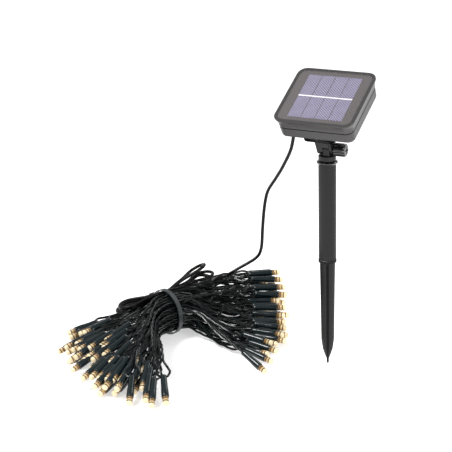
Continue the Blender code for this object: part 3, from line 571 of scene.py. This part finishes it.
def string_order(left, right):
    """Mixes the lamps of both ends along the string, which ends in a loose one on the right."""
    left = sorted(range(len(left)), key=lambda i: bearing(left[i]))
    right = sorted(range(len(right)), key=lambda i: -((bearing(right[i]) + 180.0) % 360.0))
    ranks = [((k + 0.5) / len(left), "left", i) for k, i in enumerate(left)]
    ranks += [((k + 0.5) / len(right), "right", i) for k, i in enumerate(right)]
    ranks.sort()
    order = [(side, i) for _, side, i in ranks]
    order.remove(("right", 0))
    return order + [("right", 0)]


def lamp_turn(lamp):
    """The string's turn at a lamp's tail, and the lamp's direction."""
    tip, direction = lamp_line(lamp)
    tail = tip - direction * LAMP_LENGTH
    level = unit(np.cross(direction, UP))
    roll = DICE.uniform(-TURN_ROLL, TURN_ROLL)
    lateral = level * math.cos(roll) + np.cross(direction, level) * math.sin(roll)
    if DICE.random() < 0.5:
        lateral = -lateral
    neck = tail - direction * (TURN_REACH + TURN_RADIUS - TURN_INTO_SLEEVE)
    return teardrop(neck, direction, lateral, TURN_RADIUS, TURN_GAP, TURN_REACH), direction


def wander(path, amount):
    """Lets a strand stray a little between its ends."""
    along = np.linspace(0.0, 1.0, len(path))[:, None]
    envelope = np.sin(math.pi * along)
    stray = np.zeros_like(path)
    for waves in (1.0, 2.0, 3.0):
        phase = DICE.uniform(0, 2 * math.pi, 3)
        size = DICE.normal(0, amount / waves, 3) * np.array([1.0, 1.0, UPRIGHT_STRAY])
        stray += size * np.sin(2 * math.pi * waves * along + phase)
    return path + envelope * stray


def gate(slot, end):
    """Where a strand leaves the tie at one end (-1 left, 1 right), and its direction outwards there."""
    across, height = slot
    point = WAIST + ACROSS * across + UP * height + ALONG * end * GATE_OUT
    heading = LEFT_LEAVE_DEG if end < 0 else RIGHT_LEAVE_DEG - LEAVE_TURN * across
    h = math.radians(heading)
    return point, np.array([math.cos(h), math.sin(h), 0.0])


def strand(slot, end, point, direction, outwards):
    """From the tie to a lamp's neck, or back."""
    start, leave = gate(slot, end)
    span = np.linalg.norm(point - start)
    pull = span * STRAND_PULL
    path = hermite(start, leave * pull, point, direction * pull, STRAND_POINTS)
    path = wander(path, STRAND_STRAY)
    return path if outwards else path[::-1]


def loop_past(slot_in, slot_out, reach, lift):
    """Where two lamps on one side follow each other, the string turns back beyond the tie, on the right."""
    a, leave_a = gate(slot_in, 1)
    b, leave_b = gate(slot_out, 1)
    outward = unit(leave_a + leave_b + UP * DICE.uniform(*PAST_RISE))
    neck = 0.5 * (a + b) + outward * reach + UP * lift
    lateral = unit(np.cross(outward, UP) * DICE.choice([-1.0, 1.0]) + UP * DICE.uniform(*PAST_LEAN))
    lateral = unit(lateral - outward * (lateral @ outward))
    radius = TURN_RADIUS + DICE.uniform(*PAST_WIDER)
    turn = teardrop(neck, outward, lateral, radius, TURN_GAP, TURN_REACH + PAST_LONGER)
    go = hermite(a, leave_a * reach, turn[0], outward * reach, ARM_POINTS)
    back = hermite(turn[-1], -outward * reach, b, -leave_b * reach, ARM_POINTS)
    return [go, turn, back]


def strands_in_order(lamps, order):
    """Each pass of the string through the tie: (gap between lamps, first or return, height)."""
    strands = []
    for k in range(len(order) - 1):
        (side_a, i), (side_b, j) = order[k], order[k + 1]
        height = lamps[side_a][i][2] + lamps[side_b][j][2] + DICE.uniform(-HEIGHT_SHUFFLE, HEIGHT_SHUFFLE)
        strands.append((k, 0, height))
        if side_a == side_b:
            strands.append((k, 1, height + RETURN_RISE))
    return strands


def share_out(columns, strands):
    """Gives each strand a slot in the tie. Also says which slots the lead takes."""
    slots = [(across, height) for across, heights in columns for height in heights]
    lead = sorted(slots, key=lambda s: s[0] - LEAD_HEIGHT_WEIGHT * s[1])[:LEAD_SLOTS]
    free = [s for s in slots if s not in lead]
    spare = len(free) - len(strands)
    if spare < 0:
        raise SystemExit(f"{-spare} strands have no place in the tie")
    middle = sorted(free, key=lambda s: abs(math.hypot(*s) - SPARE_RADIUS))
    free = [s for s in free if s not in middle[:spare]]
    place = {}
    used = 0
    for across, _ in columns:
        here = [s for s in free if s[0] == across]
        chunk = strands[used : used + len(here)]
        used += len(here)
        # In each column the strands keep the order of the heights that their lamps lie at
        here.sort(key=lambda s: s[1])
        for key, slot in zip(sorted(chunk, key=lambda c: c[2]), here):
            place[key[:2]] = slot
    return place, lead


def plan():
    """Every lamp's place, their order along the string, and the slots of the string and of the lead."""
    left = fill_below(LEFT_LAMPS, len(CAD_LAMPS_LEFT), LAMPS_LEFT)
    right = fill_below(RIGHT_LAMPS, len(CAD_LAMPS_RIGHT), LAMPS_RIGHT)
    lamps = {"left": left, "right": right}
    order = string_order(left, right)
    place, lead = share_out(waist_slots(), strands_in_order(lamps, order))
    return lamps, order, place, lead


def last_end(lamp):
    """The string's last stretch, which goes straight into a sleeve, and the lamp's direction."""
    tip, direction = lamp_line(lamp)
    tail = tip - direction * (LAMP_LENGTH - END_INTO_SLEEVE)
    return np.array([tail - direction * END_STRAIGHT, tail]), direction


def string_path(lamps, order, place, start):
    """The whole string as one line: from the lead's end through every lamp."""
    ends = {"left": -1, "right": 1}
    first_side, first = order[0]
    turn, direction = lamp_turn(lamps[first_side][first])
    entry = hermite(start[0], start[1] * START_PULL, turn[0], direction * START_PULL, START_POINTS)
    path = [entry, turn]
    for k in range(len(order) - 1):
        side_a, (side_b, j) = order[k][0], order[k + 1]
        here, toward = turn[-1], direction
        last = k == len(order) - 2
        turn, direction = (last_end if last else lamp_turn)(lamps[side_b][j])
        slot = place[(k, 0)]
        path.append(strand(slot, ends[side_a], here, toward, False))
        if side_a == side_b:
            slot_back = place[(k, 1)]
            path += loop_past(slot, slot_back, DICE.uniform(*PAST_REACH), DICE.uniform(*PAST_LIFT))
            slot = slot_back
        path.append(strand(slot, ends[side_b], turn[0], direction, True))
        path.append(turn)
    line = soften(resample(np.vstack(path), ROUGH_SPACING), SOFTEN_PASSES)
    line[:, 2] = np.maximum(line[:, 2], LOWEST_STRING_Z)
    return resample(line, STRING_SPACING)


# ---------------------------------------------------------------- the lead's layout

HEAD_TILT = math.radians(28.5)
HINGE_Z = 228.5
# In sight the lead keeps the CAD part's route, until it bends away to the tie. The CAD part leaves a small
# gap between the lead's two pieces, and here the upper one ends where the lower one starts. The lead was
# followed down the photo and turned into millimetres, and most of these points come from there. Scratch
# work followed the lead down the photo and turned it into millimetres.
LEAD_UPPER_ROUTE = [
    (-30.1, -13.3, 239.0), (-31.6, -11.8, 234.2), (-34.0, -10.0, 227.4), (-37.9, -7.1, 220.1),
    (-43.1, -3.0, 212.3), (-51.7, 3.9, 200.2), (-62.4, 12.7, 187.0), (-73.8, 21.9, 173.5),
    (-79.1, 26.2, 165.2), (-82.4, 28.7, 156.0),
]
LEAD_LOWER_ROUTE = [
    (-82.4, 28.7, 156.0), (-83.8, 29.7, 150.5), (-85.9, 31.2, 139.9), (-87.4, 32.2, 129.4),
    (-88.6, 32.9, 119.1), (-89.5, 33.5, 108.7), (-90.9, 34.4, 101.2), (-94.6, 37.3, 93.2),
    (-99.5, 41.0, 87.6), (-106.3, 46.4, 81.6), (-116.0, 53.8, 74.2), (-127.0, 62.1, 66.1),
    (-138.0, 70.4, 58.1), (-148.6, 78.2, 50.1), (-158.5, 76.5, 43.5), (-168.5, 66.0, 41.0),
]
LEAD_RADIUS = 1.75
LEAD_SIDES = 14
LEAD_SPACING = 2.0
LOWEST_LEAD_Z = 2.0
GLAND_U, GLAND_V = -29.0, -6.0
GLAND_WS = (23.7, 20.0)  # the lead leaves the gland along the panel's normal
ENTRY_POINTS = 20
TIE_POINTS = 6
LAST_PULL = 20.0
LAST_REACH = 30.0
LAST_FALL = 3.0
LAST_POINTS = 10
FOLD_GAP = 1.8
FOLD_PULL = 1.1
FOLD_RADIUS = 11.0
FOLD_REACH = 24.5
# Each fold of the lead to the right of the tie: how far out it turns, and how steeply it rises
RIGHT_FOLDS = [(21.0, 0.33), (29.0, 0.12), (25.0, 0.08), (34.0, 0.04), (22.0, 0.0)]
RIGHT_FOLD_ROLL = 0.12  # how much more each one leans than the one before
# How far out each fold to the left of the tie turns
LEFT_FOLDS = [7.0, 6.0, 8.0, 6.5, 5.5]
LEFT_FOLD_AWAY = 0.35
LEFT_FOLD_FALL, LEFT_FOLD_MORE = 0.2, 0.03  # how steeply the first falls, and each one more than the last


def head_point(u, v, w):
    """A point given in the head's frame, whose origin is on the tilt hinge."""
    y = v * math.cos(HEAD_TILT) - w * math.sin(HEAD_TILT)
    return (u, y, HINGE_Z + v * math.sin(HEAD_TILT) + w * math.cos(HEAD_TILT))


def fold_back(out, leave, after, outward, lateral, neck_reach):
    """The lead goes out, turns round and comes back to the tie."""
    middle = 0.5 * (out + after)
    outward = unit(outward)
    lateral = unit(lateral - outward * (lateral @ outward))
    if (after - out) @ lateral > 0:
        lateral = -lateral
    neck = middle + outward * neck_reach
    turn = teardrop(neck, outward, lateral, FOLD_RADIUS, FOLD_GAP, FOLD_REACH)
    pull = neck_reach * FOLD_PULL
    go = hermite(out, leave * pull, turn[0], outward * pull, ARM_POINTS)
    back = hermite(turn[-1], -outward * pull, after, -leave * pull, ARM_POINTS)
    return [go, turn, back]


def left_fold(fold, out, leave, after):
    """One of the lead's folds to the left of the tie."""
    outward = -VIEW_RIGHT - VIEW_AWAY * LEFT_FOLD_AWAY - UP * (LEFT_FOLD_FALL + LEFT_FOLD_MORE * fold)
    return fold_back(out, leave, after, outward, VIEW_AWAY, LEFT_FOLDS[fold])


def right_fold(fold, out, leave, after):
    """One of the lead's folds to the right of the tie."""
    reach, rise = RIGHT_FOLDS[fold]
    lateral = VIEW_AWAY + UP * RIGHT_FOLD_ROLL * (fold - 1)
    return fold_back(out, leave, after, ALONG + UP * rise, lateral, reach)


def lead_paths(slots):
    """The lead's upper piece, from the gland, and its lower one, which goes on into the hank."""
    gland = [head_point(GLAND_U, GLAND_V, w) for w in GLAND_WS]
    upper = smooth_route(gland + LEAD_UPPER_ROUTE)
    air = smooth_route(LEAD_LOWER_ROUTE)
    slots = sorted(slots, key=lambda s: -s[1])
    enter, leave = gate(slots[0], 1)
    span = np.linalg.norm(enter - air[-1])
    pieces = [air, hermite(air[-1], unit(air[-1] - air[-2]) * span, enter, -leave * span, ENTRY_POINTS)]
    for number, slot in enumerate(slots):
        # The lead goes through the tie leftwards and rightwards in turn
        near, far = (1, -1) if number % 2 == 0 else (-1, 1)
        enter, _ = gate(slot, near)
        out, leave = gate(slot, far)
        pieces.append(np.linspace(enter, out, TIE_POINTS)[1:-1])
        if slot is slots[-1]:
            end = out + leave * LAST_REACH - UP * LAST_FALL
            pieces.append(hermite(out, leave * LAST_PULL, end, leave * LAST_PULL, LAST_POINTS))
        else:
            after, _ = gate(slots[number + 1], far)
            make_fold = left_fold if far < 0 else right_fold
            pieces += make_fold(number // 2, out, leave, after)
    line = soften(resample(np.vstack(pieces), ROUGH_SPACING), SOFTEN_PASSES)
    line[:, 2] = np.maximum(line[:, 2], LOWEST_LEAD_Z)
    return resample(upper, LEAD_SPACING), resample(line, LEAD_SPACING)


# ---------------------------------------------------------------- lamps

# Each ring of a sleeve: radius, and place along the lamp, from its tip backwards
HOLDER_PROFILE = [
    (2.1, -LAMP_LENGTH), (2.9, -LAMP_LENGTH + 0.7), (3.15, -LAMP_LENGTH + 3.0), (3.25, -LAMP_LENGTH + 9.0),
    (3.4, -LAMP_LENGTH + 14.0), (3.65, -LAMP_LENGTH + 18.0), (3.8, -LAMP_LENGTH + 21.0),
    (3.8, -LENS_LENGTH - 1.2), (3.7, -LENS_LENGTH - 0.6), (3.3, -LENS_LENGTH - LENS_GAP),
]
FRONT_DENTS, TAIL_DENTS = 0.012, 0.045  # as shares of the radius
TAIL_FADE = 2.0  # rings over which the tail's dents fade
LAMP_SIDES = 20
# Each ring of a lens: radius, place along it, and the finish up to the next ring. The grooves' dark finish
# is painted shade.
BASE, CLEAR, SHADED_GROOVE, DOME = range(4)
LENS_PROFILE = [
    (2.4, -LENS_LENGTH - 0.2, BASE), (3.2, -LENS_LENGTH + 0.1, BASE),
    (3.2, -7.4, SHADED_GROOVE), (2.75, -6.9, SHADED_GROOVE),
    (3.1, -6.4, CLEAR), (3.25, -5.4, CLEAR),
    (3.15, -4.5, SHADED_GROOVE), (2.75, -3.9, SHADED_GROOVE),
    (3.05, -3.3, DOME), (3.1, -2.4, DOME), (2.85, -1.4, DOME), (2.2, -0.55, DOME), (1.2, -0.1, DOME),
    (0.2, 0.0, DOME),
]


def turned_points(profile, tip, direction, sides, spin):
    """The rings of a turned body that points along direction and ends at tip."""
    first = unit(np.cross(direction, UP if abs(direction[2]) < 0.9 else [1.0, 0.0, 0.0]))
    second = np.cross(direction, first)
    turns = spin + 2 * math.pi * np.arange(sides) / sides
    rings = []
    for radius, along in profile:
        ring = tip + direction * along
        ring = ring + radius * np.cos(turns)[:, None] * first + radius * np.sin(turns)[:, None] * second
        rings.append(ring)
    return np.array(rings)


def wrinkled(profile, tip, direction, sides):
    """A shrink sleeve, with shallow dents that are deepest at its tail."""
    rings = turned_points(profile, tip, direction, sides, DICE.uniform(0, 6.28))
    centre = rings.mean(axis=1, keepdims=True)
    outwards = rings - centre
    depth = FRONT_DENTS + TAIL_DENTS * np.exp(-np.arange(len(rings)) / TAIL_FADE)[:, None]
    dents = 1.0 + (DICE.normal(0, 1.0, rings.shape[:2]) * depth)[:, :, None]
    return centre + outwards * dents


def lamp_pieces(name, lamps, holder_material, lens_materials):
    """Two pieces: the sleeves of these lamps, and their lenses."""
    holder_points, holder_faces, lens_points, lens_faces, lens_slots = [], [], [], [], []
    for number, lamp in enumerate(lamps):
        tip, direction = lamp_line(lamp)
        rings = wrinkled(HOLDER_PROFILE, tip, direction, LAMP_SIDES)
        holder_faces += skin_rings(rings, number * rings.shape[0] * LAMP_SIDES)
        holder_points.append(rings.reshape(-1, 3))
        profile = [(radius, along) for radius, along, _ in LENS_PROFILE]
        rings = turned_points(profile, tip, direction, LAMP_SIDES, 0.0)
        lens_faces += skin_rings(rings, number * rings.shape[0] * LAMP_SIDES)
        lens_points.append(rings.reshape(-1, 3))
        for _, _, finish in LENS_PROFILE[:-1]:
            lens_slots += [finish] * LAMP_SIDES
        lens_slots += [BASE, DOME]
    holders = add_piece(f"{name}_sleeve", np.vstack(holder_points) * MM, holder_faces, [holder_material])
    lenses = add_piece(f"{name}_lens", np.vstack(lens_points) * MM, lens_faces, lens_materials, lens_slots)
    return holders, lenses


# ---------------------------------------------------------------- build: camera and cords first

make_camera()

cord_material = new_material("cord_green_black", (0.003, 0.005, 0.005), 0.24, specular=0.3, coat=0.1)
lead_material = new_material("lead_black", (0.004, 0.004, 0.004), 0.32, specular=0.16, bump=0.1)
sleeve_material = new_material(
    "sleeve_green_black", (0.002, 0.008, 0.010), 0.2, specular=0.35, coat=0.25,
    bump=0.5, bump_scale=260.0,
)
lens_materials = [
    lens_finish("lens_base", (0.22, 0.12, 0.035), 0.2, 0.0, 0.2),
    lens_finish("lens_clear", (0.80, 0.58, 0.28), 0.08, 0.05, 0.4),
    # Painted shade: the grooves' dark brown.
    lens_finish("lens_groove_shade", (0.14, 0.07, 0.02), 0.2, 0.0, 0.1),
    lens_finish("lens_dome", (0.94, 0.80, 0.52), 0.05, 0.16, 0.3),
]

lamps, order, place, lead_slots = plan()
upper_path, lower_path = lead_paths(lead_slots)
lead_end = lower_path[-1], unit(lower_path[-1] - lower_path[-4])
string_line = string_path(lamps, order, place, lead_end)

lead_upper = tube_piece("lead_upper_shown", upper_path * MM, LEAD_RADIUS * MM, LEAD_SIDES, lead_material)
lead_lower = tube_piece("lead_lower_shown", lower_path * MM, LEAD_RADIUS * MM, LEAD_SIDES, lead_material)
string = twisted_piece(
    "string_cord", string_line * MM, WIRE_RADIUS * MM, WIRES, TWIST_PITCH * MM, WIRE_SIDES, cord_material,
)

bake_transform(lead_upper)
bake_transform(lead_lower)
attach(string, "stake")
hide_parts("lead_upper")
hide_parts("lead_lower")
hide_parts("hank_right_fan", "hank_waist", "hank_left_fan")

lamp_parts = []
for side, cad in (("left", CAD_LAMPS_LEFT), ("right", CAD_LAMPS_RIGHT)):
    for spot, number in cad.items():
        parts = lamp_pieces(f"loose_lamp_{number}", [lamps[side][spot]], sleeve_material, lens_materials)
        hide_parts(f"lamp_holder_{number}")
        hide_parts(f"lamp_lens_{number}")
        lamp_parts += parts
    tied = [lamp for spot, lamp in enumerate(lamps[side]) if spot not in cad]
    lamp_parts += lamp_pieces(f"tied_lamps_{side}", tied, sleeve_material, lens_materials)
for part in lamp_parts:
    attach(part, "stake")

# ---------------------------------------------------------------- finishes of the CAD nodes


def node_finishes():
    """Each finish, and the names of the CAD nodes that have it."""
    moulded = new_material(
        "moulded_dark", (0.012, 0.012, 0.013), 0.26, specular=0.26, bump=0.1, bump_scale=900.0,
    )
    stake = tube_material()
    glossy = new_material("moulded_gloss", (0.008, 0.008, 0.008), 0.18, coat=0.5)
    shell = new_material(
        "shell_dark", (0.045, 0.043, 0.044), 0.32, specular=0.4, bump=0.12, bump_scale=1300.0,
    )
    strap = new_material("strap_grey", (0.032, 0.038, 0.040), 0.3, bump=0.1, bump_scale=500.0)
    rubber = new_material("rubber_black", (0.012, 0.012, 0.012), 0.6, bump=0.1)
    steel = new_material("zinc_plated", (0.6, 0.6, 0.58), 0.32, metallic=1.0, bump=0.1)
    board = new_material("laminate_brown", (0.066, 0.057, 0.056), 0.4, mottle=0.05)
    silicon = cell_material()
    silver = ribbon_material()
    battery = new_material("battery_green", (0.05, 0.18, 0.07), 0.35, mottle=0.05)
    window = window_material()
    return {
        stake: ["ground_spike", "lower_collar", "stake_tube"],
        moulded: ["neck", "bracket", "battery_holder", "power_switch", "mode_switch"],
        glossy: ["tilt_knob", "tube_ring"],
        strap: ["cable_tie_strap", "cable_tie_head"],
        shell: ["upper_frame", "lower_shell", "battery_cover"],
        rubber: ["sealing_gasket", "power_button", "mode_button", "cable_gland"],
        steel: [
            "hinge_bolt", "hinge_nut", "spring_contact", "plate_contact", "battery_cover_screw",
            "bracket_screw_1", "bracket_screw_2", *[f"housing_screw_{i}" for i in range(1, 5)],
        ],
        board: ["panel_backing", "circuit_board"],
        silicon: [f"cell_strip_{i}" for i in range(1, 5)],
        silver: ["bus_ribbon"],
        battery: ["battery_cell"],
        window: ["panel_window"],
    }


def finish_nodes():
    """Gives each CAD node its finish. The nodes themselves stay where they are."""
    for material, names in node_finishes().items():
        for name in names:
            node = NODES[name]
            node.data.materials.clear()
            node.data.materials.append(material)


finish_nodes()

# ---------------------------------------------------------------- stage and light

WORLD_STRENGTH = 0.48
FLOOR_GLOW = 0.5
FLOOR_SIZE = 30.0
FLOOR_PLACE = (0.0, 5.0, -0.0005)


def light_panel(name, place, aim, size, power):
    """A rectangular lamp that faces the point aim. Places and sizes are in metres, power in watts."""
    light = bpy.data.lights.new(name, "AREA")
    light.shape = "RECTANGLE"
    light.size, light.size_y = size
    light.energy = power
    lamp = bpy.data.objects.new(name, light)
    lamp.location = place
    lamp.rotation_euler = (Vector(aim) - Vector(place)).to_track_quat("-Z", "Y").to_euler()
    bpy.context.scene.collection.objects.link(lamp)


def make_floor():
    """A large pale floor that glows a little, so that it stays white round the object."""
    bpy.ops.mesh.primitive_plane_add(size=FLOOR_SIZE, location=FLOOR_PLACE)
    floor = bpy.context.object
    floor.name = "floor"
    paint = new_material("floor_white", (0.9, 0.89, 0.885), 0.7, specular=0.2)
    shader = shader_of(paint)
    shader.inputs["Emission Color"].default_value = (1.0, 1.0, 1.0, 1.0)
    shader.inputs["Emission Strength"].default_value = FLOOR_GLOW
    floor.data.materials.append(paint)


def make_light():
    """An even white surrounding, with a key light at the upper left and three weaker lights."""
    world = bpy.data.worlds.new("studio")
    world.use_nodes = True
    background = world.node_tree.nodes["Background"]
    background.inputs["Color"].default_value = (1.0, 1.0, 1.0, 1.0)
    background.inputs["Strength"].default_value = WORLD_STRENGTH
    bpy.context.scene.world = world
    light_panel("key", place=(-0.7, -0.7, 1.5), aim=(-0.08, 0.0, 0.1), size=(0.6, 0.5), power=26.0)
    light_panel("fill", place=(1.4, -0.7, 0.8), aim=(0.0, 0.0, 0.15), size=(0.5, 0.9), power=2.0)
    light_panel("strip", place=(1.25, -0.55, 0.3), aim=(0.0, 0.0, 0.2), size=(0.1, 1.5), power=12.0)
    light_panel("back", place=(0.3, 1.2, 1.2), aim=(-0.05, 0.0, 0.15), size=(1.2, 0.5), power=6.0)


make_floor()
make_light()

bpy.context.scene.view_settings.view_transform = "Standard"
